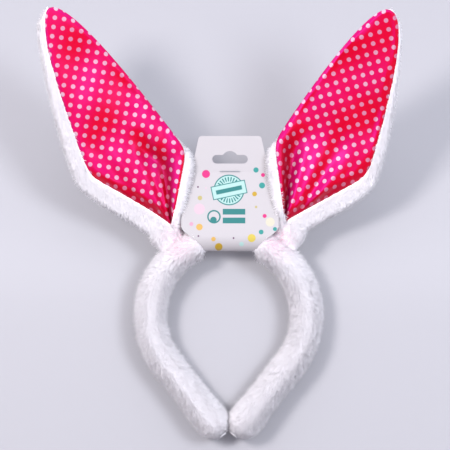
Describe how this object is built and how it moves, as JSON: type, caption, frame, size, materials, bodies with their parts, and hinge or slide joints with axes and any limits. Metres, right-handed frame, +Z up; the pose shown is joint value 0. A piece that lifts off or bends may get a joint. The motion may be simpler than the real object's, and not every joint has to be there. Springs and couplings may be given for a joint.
{
  "type": "rabbit ears headband",
  "caption": "White plush headband with tall rabbit ears faced in dotted pink satin, on a springy band, hung by a folded header card.",
  "frame": {"origin": "middle of the crown's inner face, where the top of the head touches the band", "axes": "+Z up when worn, +X to the viewer's right, the satin faces and the card's front face -Y"},
  "size_m": [0.2905, 0.0411, 0.3479],
  "materials": {
    "plush": "soft short-pile plush",
    "satin": "glossy satin with white polka dots",
    "wadding": "needled wadding",
    "thread": "twisted sewing thread",
    "band_plastic": "moulded, matt",
    "card": "coated board, printed with coloured dots",
    "staple": "zinc-plated wire"
  },
  "bodies": {
    "crown": {"band_crown": "band_plastic", "sleeve_crown": "plush"},
    "left_arm": {"band_left": "band_plastic", "sleeve_left": "plush", "left_end_stitch": "thread"},
    "right_arm": {"band_right": "band_plastic", "sleeve_right": "plush", "right_end_stitch": "thread"},
    "left_ear": {"left_ear_back": "plush", "left_ear_satin": "satin", "left_ear_wadding": "wadding", "left_ear_gather": "thread"},
    "left_ear_tip": {"left_tip_back": "plush", "left_tip_satin": "satin", "left_tip_wadding": "wadding"},
    "right_ear": {"right_ear_back": "plush", "right_ear_satin": "satin", "right_ear_wadding": "wadding", "right_ear_gather": "thread"},
    "right_ear_tip": {"right_tip_back": "plush", "right_tip_satin": "satin", "right_tip_wadding": "wadding"},
    "card": {"header_card": "card", "card_staple": "staple"}
  },
  "joints": [
    {"name": "right_arm_open", "type": "hinge", "parent": "crown", "child": "right_arm", "pos_m": [0.0478, 0, -0.01129], "axis": [0, -1, 0], "range_deg": [0, 24], "stiffness_Nm_per_rad": 0.8},
    {"name": "left_arm_open", "type": "hinge", "parent": "crown", "child": "left_arm", "pos_m": [-0.0478, 0, -0.01129], "axis": [0, 1, 0], "range_deg": [0, 24], "stiffness_Nm_per_rad": 0.8},
    {"name": "left_ear_tilt", "type": "hinge", "parent": "crown", "child": "left_ear", "pos_m": [-0.03453, 0, 0.00057], "axis": [0.8329, 0, 0.5534], "range_deg": [-28, 28]},
    {"name": "right_ear_tilt", "type": "hinge", "parent": "crown", "child": "right_ear", "pos_m": [0.03453, 0, 0.00057], "axis": [0.8329, 0, -0.5534], "range_deg": [-28, 28]},
    {"name": "left_ear_fold", "type": "hinge", "parent": "left_ear", "child": "left_ear_tip", "pos_m": [-0.08697, -0.0034, 0.09266], "axis": [0.8729, 0, 0.4879], "range_deg": [-4, 80]},
    {"name": "right_ear_fold", "type": "hinge", "parent": "right_ear", "child": "right_ear_tip", "pos_m": [0.08197, -0.0034, 0.09527], "axis": [0.9003, 0, -0.4352], "range_deg": [-14, 80]},
    {"name": "card_swing", "type": "hinge", "parent": "crown", "child": "card", "pos_m": [0.0012, 0, 0.011], "axis": [1, 0, 0], "range_deg": [-1, 18]}
  ]
}
